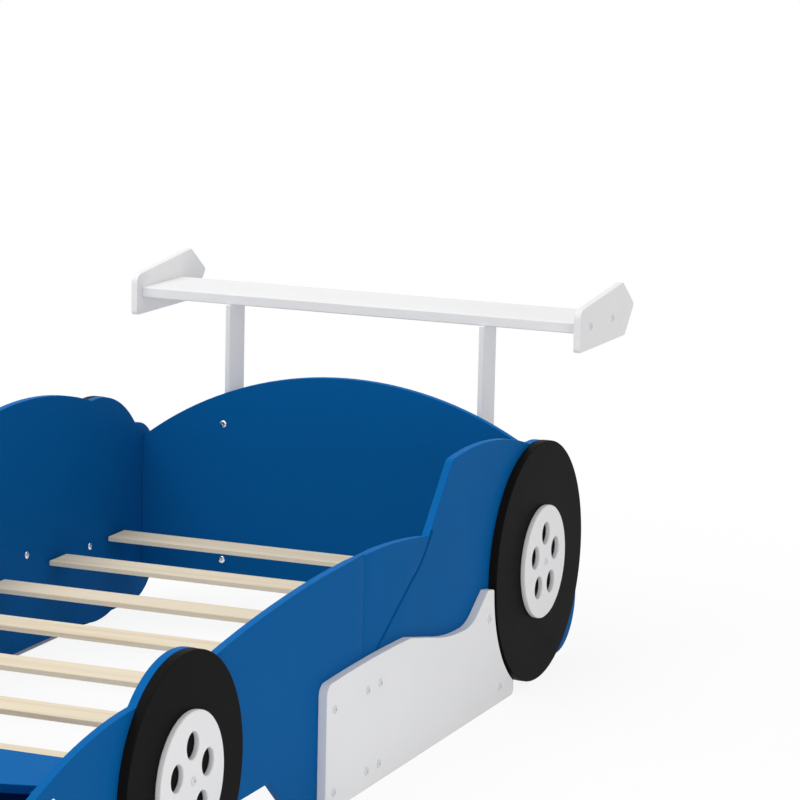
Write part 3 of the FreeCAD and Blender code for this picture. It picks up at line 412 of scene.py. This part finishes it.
def keep_faces_flat(piece):
    """Shade the rounded edges smoothly, with normals that leave the large faces flat."""
    piece.data.shade_smooth()
    piece.data.set_sharp_from_angle(angle=SMOOTH_BELOW)
    even = piece.modifiers.new("even", "WEIGHTED_NORMAL")
    even.keep_sharp = True
    apply_modifiers(piece)


def apply_modifiers(piece):
    """Put what a piece's modifiers make of it in the place of its mesh."""
    bpy.context.view_layer.update()
    graph = bpy.context.evaluated_depsgraph_get()
    mesh = bpy.data.meshes.new_from_object(piece.evaluated_get(graph), depsgraph=graph)
    piece.modifiers.clear()
    piece.data = mesh


def finish_piece(piece, material):
    """Give a piece its only material."""
    piece.data.materials.clear()
    piece.data.materials.append(material)


def finish_node(node, material):
    """Give a CAD node that stays its own material."""
    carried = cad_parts[node]
    for holder in carried.material_slots:
        holder.material = material
    if not carried.material_slots:
        carried.data.materials.append(material)


# ---------------------------------------------------------------- settings

class BoardSettings(bpy.types.PropertyGroup):
    """The painted boards' edges, lines and colours"""
    rounding: bpy.props.FloatProperty(
        name="Edge rounding", description="Radius along the edges of the painted boards",
        default=0.0015, unit="LENGTH")
    hub_rounding: bpy.props.FloatProperty(
        name="Hub rounding", description="Radius along the edges of the white hubs",
        default=0.003, unit="LENGTH")
    seam: bpy.props.FloatProperty(
        name="Joint", description="Width of the bevel on each half of a side at their joint",
        default=0.0014, unit="LENGTH")
    groove: bpy.props.FloatProperty(
        name="Groove radius", description="Radius of the routed line on the doors",
        default=0.0048, unit="LENGTH")
    blue: bpy.props.FloatVectorProperty(
        name="Body paint", description="Colour of the sides, headboard and nose",
        subtype="COLOR", size=3, default=tone(10, 93, 158))
    # Painted light: a brighter blue on the faces that look up, standing in for the light from
    # above
    blue_painted_light: bpy.props.FloatVectorProperty(
        name="Body paint, upper faces", description="Colour of the body paint where it looks up",
        subtype="COLOR", size=3, default=tone(14, 105, 177))
    white: bpy.props.FloatVectorProperty(
        name="Trim paint", description="Colour of the skirts, hubs and wing",
        subtype="COLOR", size=3, default=tone(242, 242, 243))
    black: bpy.props.FloatVectorProperty(
        name="Wheel paint", description="Colour of the wheel discs",
        subtype="COLOR", size=3, default=tone(26, 25, 25))
    roughness: bpy.props.FloatProperty(
        name="Paint roughness", description="Roughness of the satin paint",
        default=0.42, min=0.0, max=1.0, subtype="FACTOR")


class SlatSettings(bpy.types.PropertyGroup):
    """The slats' edges and colours"""
    rounding: bpy.props.FloatProperty(
        name="Edge rounding", description="Radius along the edges of a slat",
        default=0.001, unit="LENGTH")
    pale: bpy.props.FloatVectorProperty(
        name="Pale wood", description="Colour of the pine between its rings",
        subtype="COLOR", size=3, default=tone(243, 230, 205))
    dark: bpy.props.FloatVectorProperty(
        name="Dark wood", description="Colour of the pine's rings",
        subtype="COLOR", size=3, default=tone(232, 214, 184))


class BoltSettings(bpy.types.PropertyGroup):
    """The bolts' heads and colours"""
    head: bpy.props.FloatProperty(
        name="Head", description="Radius of a bolt's button head",
        default=0.0081, unit="LENGTH")
    socket: bpy.props.FloatProperty(
        name="Socket", description="Width of a bolt's six-sided socket, from side to side",
        default=0.0055, unit="LENGTH")
    bright: bpy.props.FloatVectorProperty(
        name="Bright steel", description="Colour of the plated bolts",
        subtype="COLOR", size=3, default=tone(226, 228, 232))
    pale: bpy.props.FloatVectorProperty(
        name="Pale heads", description="Colour of the bolts on the white boards",
        subtype="COLOR", size=3, default=tone(216, 217, 219))


class StageSettings(bpy.types.PropertyGroup):
    """The floor's colour and the strength of the lights"""
    floor: bpy.props.FloatVectorProperty(
        name="Floor", description="Colour of the studio floor",
        subtype="COLOR", size=3, default=tone(250, 250, 250))
    key_power: bpy.props.FloatProperty(
        name="Key light", description="Power of the large lamp above the bed",
        default=84.0, unit="POWER")
    side_power: bpy.props.FloatProperty(
        name="Side light", description="Power of the lamp low on the bed's left",
        default=52.0, unit="POWER")
    front_power: bpy.props.FloatProperty(
        name="Front light", description="Power of the lamp ahead of the nose",
        default=20.0, unit="POWER")
    ambient: bpy.props.FloatProperty(
        name="Ambient", description="Strength of the even light from all round", default=0.64)


# Each group of settings, by the name that the scene has for it.
GROUPS = {
    "car_bed_boards": BoardSettings,
    "car_bed_slats": SlatSettings,
    "car_bed_bolts": BoltSettings,
    "car_bed_stage": StageSettings,
}
made_finishes = {}              # by their names


def finish_of(name, make, *values):
    """A finish, made once and shared by the pieces that have it."""
    if name not in made_finishes:
        made_finishes[name] = make(name, *values)
    return made_finishes[name]


def blue_paint(context):
    """The paint of the sides, headboard and nose, with a painted light on its faces that look up.
    """
    boards = context.scene.car_bed_boards
    return finish_of("blue_paint", paint, boards.blue, boards.blue_painted_light, boards.roughness)


def white_paint(context):
    """The paint of the skirts, hubs and wing."""
    boards = context.scene.car_bed_boards
    return finish_of("white_paint", paint, boards.white, boards.white, boards.roughness)


def black_paint(context):
    """The paint of the wheel discs."""
    boards = context.scene.car_bed_boards
    return finish_of("black_paint", paint, boards.black, boards.black, boards.roughness)


BRIGHT_ROUGHNESS, BRIGHT_METALLIC = 0.24, 1.0
PALE_ROUGHNESS, PALE_METALLIC = 0.42, 0.15
DOWEL_PALE, DOWEL_DARK = 0.9, 0.75      # shades of the pine's rings


def bright_steel(context):
    """The plating of the bolts in the blue boards, and of the screws and pins."""
    bolts = context.scene.car_bed_bolts
    return finish_of("bright_steel", steel, bolts.bright, BRIGHT_ROUGHNESS, BRIGHT_METALLIC)


def white_steel(context):
    """The pale heads of the bolts in the white boards."""
    bolts = context.scene.car_bed_bolts
    return finish_of("white_steel", steel, bolts.pale, PALE_ROUGHNESS, PALE_METALLIC)


# ---------------------------------------------------------------- sides and their lines

SEAM_SLACK = 0.01               # a share of the rounding, past which a corner isn't at the joint
SEAM_DEPTH = 0.004              # metres that the bevel reaches into the board

# The routed line, as metres behind the rear axle and above the floor: from the fender's foot
# along an arc to the bend, and straight on to its end under the skirt.
LINE_TOP = (-0.580, 0.402)
LINE_BEND = (-0.651, 0.349)
LINE_END = (-0.826, 0.247)
LINE_RADIUS = 0.201
LINE_STEPS = 8
LINE_RUN_OUT = 0.03             # metres past its top, so that it cuts the door's top edge
GROOVE_STEPS = 3
GROOVE_DEPTH = 1.6              # its depth, as a multiple of its radius


def open_joint(piece, joint, boards):
    """Turn a half's rounded edges at the joint into a narrow, deep bevel, closed at its bottom."""
    corners = piece.data.vertices
    middle = sum(corner.co.x for corner in corners) / len(corners)
    for corner in corners:
        share = abs(corner.co.y - joint) / boards.rounding
        if share < 1 + SEAM_SLACK:
            corner.co.y = joint + (corner.co.y - joint) * boards.seam / boards.rounding
            corner.co.x -= math.copysign((1 - min(share, 1)) * SEAM_DEPTH, corner.co.x - middle)
    keep_faces_flat(piece)


def door_line():
    """The points of the routed line's way down the door, with its run-out at the top."""
    top, bend = Vector(LINE_TOP), Vector(LINE_BEND)
    chord = bend - top
    middle = (top + bend) / 2
    drop = math.sqrt(LINE_RADIUS ** 2 - (chord.length / 2) ** 2)
    across = Vector((chord.y, -chord.x)).normalized()
    centre = middle + across * drop
    start, end = (math.atan2(*(point - centre).yx) for point in (top, bend))
    turns = (start + (end - start) * step / LINE_STEPS for step in range(LINE_STEPS + 1))
    arc = [centre + Vector((math.cos(turn), math.sin(turn))) * LINE_RADIUS for turn in turns]
    run_out = arc[0] + (arc[0] - arc[1]).normalized() * LINE_RUN_OUT
    return [run_out, *arc, Vector(LINE_END)]


def rout(piece, line, face, radius):
    """Cut a round groove along a line on a face that looks along X."""
    curve = bpy.data.curves.new("groove", "CURVE")
    curve.dimensions, curve.use_fill_caps = "3D", True
    curve.bevel_depth, curve.bevel_resolution = radius, GROOVE_STEPS
    spline = curve.splines.new("POLY")
    spline.points.add(len(line) - 1)
    for point, (behind, up) in zip(spline.points, line):
        point.co = (face, behind + AXLE_BEHIND_MIDDLE, up, 1.0)
    cutter = bpy.data.objects.new("groove", curve)
    bpy.context.scene.collection.objects.link(cutter)
    bpy.context.view_layer.update()
    mesh = bpy.data.meshes.new_from_object(cutter)
    for corner in mesh.vertices:
        corner.co.x = face + (corner.co.x - face) * GROOVE_DEPTH
    tool = bpy.data.objects.new("groove_cutter", mesh)
    bpy.context.scene.collection.objects.link(tool)
    carve = piece.modifiers.new("groove", "BOOLEAN")
    carve.object, carve.operation, carve.solver = tool, "DIFFERENCE", "EXACT"
    apply_modifiers(piece)
    keep_faces_flat(piece)
    for leftover in (tool, cutter):
        bpy.data.objects.remove(leftover)
    bpy.data.curves.remove(curve)
    bpy.data.meshes.remove(mesh)


class CARBED_OT_sides(bpy.types.Operator):
    """Make the four halves of the two sides, with the routed line on the doors"""
    bl_idname = "car_bed.sides"
    bl_label = "Sides"

    def execute(self, context):
        boards = context.scene.car_bed_boards
        for side in SIDES:
            inner_face = "low" if side == "left" else "high"    # no routed line crosses it
            for half in HALVES:
                node = f"side_panel_{half}_{side}"
                piece = rounded_board(node, "x", boards.rounding, inner_face)
                low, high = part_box(node)
                joint = low[1] if half == "rear" else high[1]
                open_joint(piece, joint, boards)
                if half == "rear":
                    outer_face = high[0] if side == "left" else low[0]
                    rout(piece, door_line(), outer_face, boards.groove)
                finish_piece(piece, blue_paint(context))
        return {"FINISHED"}


# ---------------------------------------------------------------- the other boards

CLEAT_SLIMMING = 0.64           # the share of a nose cleat's width that is drawn


class CARBED_OT_cross_boards(bpy.types.Operator):
    """Make the headboard, footboard, deck, bin floor, bumper and its cleats"""
    bl_idname = "car_bed.cross_boards"
    bl_label = "Cross boards"

    def execute(self, context):
        rounding = context.scene.car_bed_boards.rounding
        for node, axis in (("headboard", "y"), ("footboard", "y"), ("front_bumper", "y"),
                           ("front_deck", "z"), ("bin_floor", "z")):
            piece = rounded_board(node, axis, rounding)
            finish_piece(piece, blue_paint(context))
        for side in SIDES:
            piece = rounded_board(f"nose_cleat_{side}", "z", rounding)
            low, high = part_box(f"nose_cleat_{side}")
            board = high[0] if side == "left" else low[0]   # the face on the side's board
            for corner in piece.data.vertices:
                corner.co.x = board + (corner.co.x - board) * CLEAT_SLIMMING
            finish_piece(piece, blue_paint(context))
        return {"FINISHED"}


class CARBED_OT_skirts(bpy.types.Operator):
    """Make the white skirt board of each side"""
    bl_idname = "car_bed.skirts"
    bl_label = "Skirts"

    def execute(self, context):
        for side in SIDES:
            piece = rounded_board(f"skirt_{side}", "x", context.scene.car_bed_boards.rounding)
            finish_piece(piece, white_paint(context))
        return {"FINISHED"}


class CARBED_OT_wheels(bpy.types.Operator):
    """Make the four black wheel discs and their white hubs"""
    bl_idname = "car_bed.wheels"
    bl_label = "Wheels"

    def execute(self, context):
        boards = context.scene.car_bed_boards
        for side in SIDES:
            for half in HALVES:
                disc = rounded_board(f"wheel_{half}_{side}", "x", boards.rounding)
                finish_piece(disc, black_paint(context))
                hub = rounded_board(f"hub_{half}_{side}", "x", boards.hub_rounding)
                finish_piece(hub, white_paint(context))
        return {"FINISHED"}


class CARBED_OT_slats(bpy.types.Operator):
    """Make the bare pine slats"""
    bl_idname = "car_bed.slats"
    bl_label = "Slats"

    def execute(self, context):
        slats = context.scene.car_bed_slats
        wood = finish_of("bare_pine", pine, slats.pale, slats.dark)
        for index in range(SLATS):
            piece = rounded_board(f"slat_{index + 1}", "x", slats.rounding)
            finish_piece(piece, wood)
        return {"FINISHED"}


class CARBED_OT_spoiler(bpy.types.Operator):
    """Make the wing, its end plates and its posts"""
    bl_idname = "car_bed.spoiler"
    bl_label = "Spoiler"

    def execute(self, context):
        rounding = context.scene.car_bed_boards.rounding
        white = white_paint(context)
        finish_piece(rounded_board("spoiler_wing", "x", rounding), white)
        for side in SIDES:
            post = rounded_board(f"spoiler_post_{side}", "z", rounding)
            finish_piece(post, white)
            plate = rounded_board(f"spoiler_plate_{side}", "x", rounding)
            finish_piece(plate, white)
        return {"FINISHED"}


# ---------------------------------------------------------------- bolts and fittings

SHANK_RADIUS = 0.0026           # metres
RING_STEPS = 24
DOME_STEPS = 5
DOME_END = 84.0                 # degrees up the dome from its rim to the socket
DOME_FLAT = 0.45                # the share of the head's radius that stays as the dome closes
HEAD_WALL = 0.25                # heights, as shares of the head's
RIM_RISE = 0.99
SOCKET_FLOOR = 0.35


def separate_solids(node):
    """The corners of each solid of a node, as a list of points for each solid."""
    shape = bmesh.new()
    shape.from_mesh(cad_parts[node].data)
    bmesh.ops.remove_doubles(shape, verts=shape.verts, dist=WELD)
    known, solids = set(), []
    for first in shape.verts:
        if first in known:
            continue
        known.add(first)
        reached, solid = [first], []
        while reached:
            corner = reached.pop()
            solid.append(corner.co.copy())
            found = [edge.other_vert(corner) for edge in corner.link_edges]
            found = [other for other in found if other not in known]
            known.update(found)
            reached.extend(found)
        solids.append(solid)
    shape.free()
    return solids


def bolt_seat(corners):
    """Where a bolt's head sits, the way it looks, its height, and its shank's length.

    The frame's plain heads taper, so they are widest at their seat.
    """
    low = Vector(min(corner[axis] for corner in corners) for axis in range(3))
    high = Vector(max(corner[axis] for corner in corners) for axis in range(3))
    axis = max(range(3), key=lambda index: high[index] - low[index])
    middle = (low + high) / 2

    def reach(corner):
        across = corner - middle
        across[axis] = 0.0
        return across.length

    radius = max(reach(corner) for corner in corners)
    seat = next(corner[axis] for corner in corners if reach(corner) > radius - NEAR)
    way = 1.0 if seat > middle[axis] else -1.0
    top, tail = (high[axis], low[axis]) if way > 0 else (low[axis], high[axis])
    place, look = middle.copy(), Vector()
    place[axis], look[axis] = seat, way
    return place, look, abs(top - seat), abs(seat - tail)


def button_bolts(node, bolts):
    """Button-headed bolts in the places of a node's plain ones."""
    shape = bmesh.new()
    for solid in separate_solids(node):
        place, look, height, length = bolt_seat(solid)
        turn = Matrix.Translation(place) @ look.to_track_quat("Z", "Y").to_matrix().to_4x4()
        rings = [ring(SHANK_RADIUS, -length), ring(SHANK_RADIUS, 0.0), ring(bolts.head, 0.0)]
        for step in range(DOME_STEPS + 1):
            lean = math.radians(DOME_END * step / DOME_STEPS)
            rise = height * (HEAD_WALL + (1 - HEAD_WALL) * math.sin(lean))
            wide = DOME_FLAT + (1 - DOME_FLAT) * math.cos(lean)
            rings.append(ring(bolts.head * wide, rise))
        rings.append(six_sided(bolts.socket, height * RIM_RISE))
        rings.append(six_sided(bolts.socket, height * SOCKET_FLOOR))
        loft(shape, rings, turn)
    mesh = bpy.data.meshes.new(node)
    shape.to_mesh(mesh)
    shape.free()
    return add_piece(node + "_heads", mesh, [node])


def ring(radius, height):
    """A circle of points at a height."""
    turns = (2 * math.pi * step / RING_STEPS for step in range(RING_STEPS))
    return [Vector((radius * math.cos(turn), radius * math.sin(turn), height)) for turn in turns]


def six_sided(width, height):
    """A ring of as many points as the others, on the sides of a hexagon."""
    points = []
    for corner in ring(1.0, 0.0):
        turn = math.atan2(corner.y, corner.x)
        lean = (turn + math.pi / 6) % (math.pi / 3) - math.pi / 6
        points.append(Vector((*(corner.xy * (width / 2 / math.cos(lean))), height)))
    return points


def loft(shape, rings, turn):
    """Skin a row of rings and close both ends."""
    rows = [[shape.verts.new(turn @ point) for point in points] for points in rings]
    for lower, upper in zip(rows, rows[1:]):
        for index in range(len(lower)):
            after = (index + 1) % len(lower)
            shape.faces.new((lower[index], lower[after], upper[after], upper[index]))
    shape.faces.new(reversed(rows[0]))
    shape.faces.new(rows[-1])


class CARBED_OT_bolts(bpy.types.Operator):
    """Make the button-headed bolts with their six-sided sockets"""
    bl_idname = "car_bed.bolts"
    bl_label = "Bolts"

    def execute(self, context):
        bolts = context.scene.car_bed_bolts
        for node in ("inner_bolts", "nose_bolts", "post_bolts", "bumper_bolts"):
            finish_piece(button_bolts(node, bolts), bright_steel(context))
        for node in ("skirt_bolts_left", "skirt_bolts_right", "hub_bolts", "plate_bolts"):
            finish_piece(button_bolts(node, bolts), white_steel(context))
        return {"FINISHED"}


class CARBED_OT_inner_fittings(bpy.types.Operator):
    """Finish the screws, pins and dowels inside the boards"""
    bl_idname = "car_bed.inner_fittings"
    bl_label = "Screws, pins and dowels"

    def execute(self, context):
        dark = context.scene.car_bed_slats.dark
        beech = finish_of("beech", pine, shade(dark, DOWEL_PALE), shade(dark, DOWEL_DARK))
        for node in ("corner_screws", "slat_pins_left", "slat_pins_right"):
            finish_node(node, bright_steel(context))
        for node in ("seam_dowels", "wing_dowels"):
            finish_node(node, beech)
        return {"FINISHED"}


# ---------------------------------------------------------------- the stage

WHITE = (1.0, 1.0, 1.0, 1.0)

FLOOR_REACH = 40.0              # metres from the middle to each edge
FLOOR_ROUGHNESS = 0.9
DUST_SCALE = 1.5
DUST_DARKER, DUST_BRIGHTER = 0.99, 1.01
FLOOR_GLOW = 0.88               # the share of plain white that the floor shows at the bed
SHADOW_FULL, SHADOW_GONE = 1.3, 3.0     # metres from the middle, between which it turns white

# Each lamp's name, place, the point that it looks at, its width, and the setting of its power.
LAMPS = (
    ("key_light", (-1.0, -0.4, 4.2), (0.0, 0.2, 0.2), 3.0, "key_power"),
    ("side_light", (5.2, -3.2, 1.0), (0.0, 0.2, 0.3), 2.6, "side_power"),
    ("front_light", (0.8, -6.5, 2.0), (0.0, 0.0, 0.3), 3.0, "front_power"),
)

# Metres, degrees, and millimetres for the lens and its sensor.
CAMERA_BESIDE = 2.9394
CAMERA_AHEAD_OF_AXLE = 6.5885
CAMERA_HEIGHT = 1.8361
CAMERA_HEADING = 22.50
CAMERA_DIP = 10.118
CAMERA_ROLL = 1.243
CAMERA_LENS = 155.25
CAMERA_SENSOR = 36.0
CAMERA_SIGHT = 200.0


def lay_floor(colour):
    """Lay a pale floor that keeps the bed's shadow and turns plain white away from it."""
    corners = [(-FLOOR_REACH, -FLOOR_REACH), (FLOOR_REACH, -FLOOR_REACH),
               (FLOOR_REACH, FLOOR_REACH), (-FLOOR_REACH, FLOOR_REACH)]
    mesh = bpy.data.meshes.new("studio_floor")
    mesh.from_pydata([(x, y, 0.0) for x, y in corners], [], [(0, 1, 2, 3)])
    floor = bpy.data.objects.new("studio_floor", mesh)
    bpy.context.scene.collection.objects.link(floor)
    finish = Finish("studio_floor", {"Roughness": FLOOR_ROUGHNESS})
    dust = finish.noise(DUST_SCALE)
    finish.end("Base Color", finish.blend(dust, shade(colour, DUST_DARKER),
                                          shade(colour, DUST_BRIGHTER)))
    distance = finish.node("ShaderNodeVectorMath", {"operation": "LENGTH"},
                           {0: finish.place()}, output="Value")
    away = finish.node("ShaderNodeMapRange", {"interpolation_type": "SMOOTHSTEP"},
                       {"Value": distance, "From Min": SHADOW_FULL, "From Max": SHADOW_GONE,
                        "To Min": FLOOR_GLOW})
    white = finish.node("ShaderNodeEmission", None, {"Color": WHITE})
    painted = Wire(finish, finish.shader.outputs["BSDF"])
    finish.surface(finish.mix_shaders(finish.shown() * away, painted, white))
    mesh.materials.append(finish.material)


def hang_lamps(settings):
    """Hang the large soft lamps round the bed."""
    for name, place, target, size, power in LAMPS:
        lamp = bpy.data.lights.new(name, "AREA")
        lamp.shape, lamp.size, lamp.energy = "SQUARE", size, getattr(settings, power)
        holder = bpy.data.objects.new(name, lamp)
        holder.location = place
        way = Vector(target) - Vector(place)
        holder.rotation_euler = way.to_track_quat("-Z", "Y").to_euler()
        bpy.context.scene.collection.objects.link(holder)


def light_world(ambient):
    """Even light all round, which the camera and reflections see as white."""
    world = bpy.data.worlds.new("studio")
    world.use_nodes = True
    bpy.context.scene.world = world
    wiring = Wiring(world.node_tree)
    wiring.tree.nodes.remove(wiring.tree.nodes["Background"])   # comes with every new world
    lit = wiring.node("ShaderNodeBackground", None, {"Color": WHITE, "Strength": ambient})
    seen = wiring.node("ShaderNodeBackground", None, {"Color": WHITE, "Strength": 1.0})
    wiring.surface(wiring.mix_shaders(wiring.shown(), lit, seen))


def place_camera():
    """Stand where the picture was taken: ahead of the bed, on its left, and above it."""
    camera = bpy.data.cameras.new("camera")
    camera.lens, camera.sensor_width = CAMERA_LENS, CAMERA_SENSOR
    camera.clip_end = CAMERA_SIGHT
    holder = bpy.data.objects.new("camera", camera)
    heading, dip, roll = (math.radians(turn) for turn in
                          (CAMERA_HEADING, CAMERA_DIP, CAMERA_ROLL))
    turn = (Matrix.Rotation(heading, 4, "Z") @ Matrix.Rotation(math.pi / 2 - dip, 4, "X")
            @ Matrix.Rotation(roll, 4, "Z"))
    place = (CAMERA_BESIDE, AXLE_BEHIND_MIDDLE - CAMERA_AHEAD_OF_AXLE, CAMERA_HEIGHT)
    holder.matrix_world = Matrix.Translation(place) @ turn
    bpy.context.scene.collection.objects.link(holder)
    bpy.context.scene.camera = holder


class CARBED_OT_stage(bpy.types.Operator):
    """Set up the pale floor, the lamps and the camera"""
    bl_idname = "car_bed.stage"
    bl_label = "Stage"

    def execute(self, context):
        settings = context.scene.car_bed_stage
        lay_floor(settings.floor)
        hang_lamps(settings)
        light_world(settings.ambient)
        place_camera()
        context.scene.view_settings.view_transform = "Standard"
        return {"FINISHED"}


# ---------------------------------------------------------------- panel and registration

OPERATORS = (
    CARBED_OT_sides,
    CARBED_OT_cross_boards,
    CARBED_OT_skirts,
    CARBED_OT_wheels,
    CARBED_OT_slats,
    CARBED_OT_spoiler,
    CARBED_OT_bolts,
    CARBED_OT_inner_fittings,
    CARBED_OT_stage,
)


class CARBED_PT_panel(bpy.types.Panel):
    """Lists the pieces of the bed and their settings"""
    bl_idname = "CARBED_PT_panel"
    bl_label = "Car bed"
    bl_space_type = "VIEW_3D"
    bl_region_type = "UI"
    bl_category = "Car bed"

    def draw(self, context):
        for operator in OPERATORS:
            self.layout.operator(operator.bl_idname)
        for name, group in GROUPS.items():
            box = self.layout.box()
            for field in group.__annotations__:
                box.prop(getattr(context.scene, name), field)


CLASSES = (*GROUPS.values(), *OPERATORS, CARBED_PT_panel)


def register():
    """Make the settings, the operators and the panel known to Blender."""
    for item in CLASSES:
        bpy.utils.register_class(item)
    for name, group in GROUPS.items():
        setattr(bpy.types.Scene, name, bpy.props.PointerProperty(type=group))


def unregister():
    """Take back what register did."""
    for name in GROUPS:
        delattr(bpy.types.Scene, name)
    for item in reversed(CLASSES):
        bpy.utils.unregister_class(item)


def corners(box):
    """A box's lowest and highest corners, as plain lists."""
    return [list(corner) for corner in box]


def main():
    """Make every piece and the stage."""
    register()
    for operator in OPERATORS:
        group, name = operator.bl_idname.split(".")
        getattr(getattr(bpy.ops, group), name)()


if __name__ == "__main__":
    main()
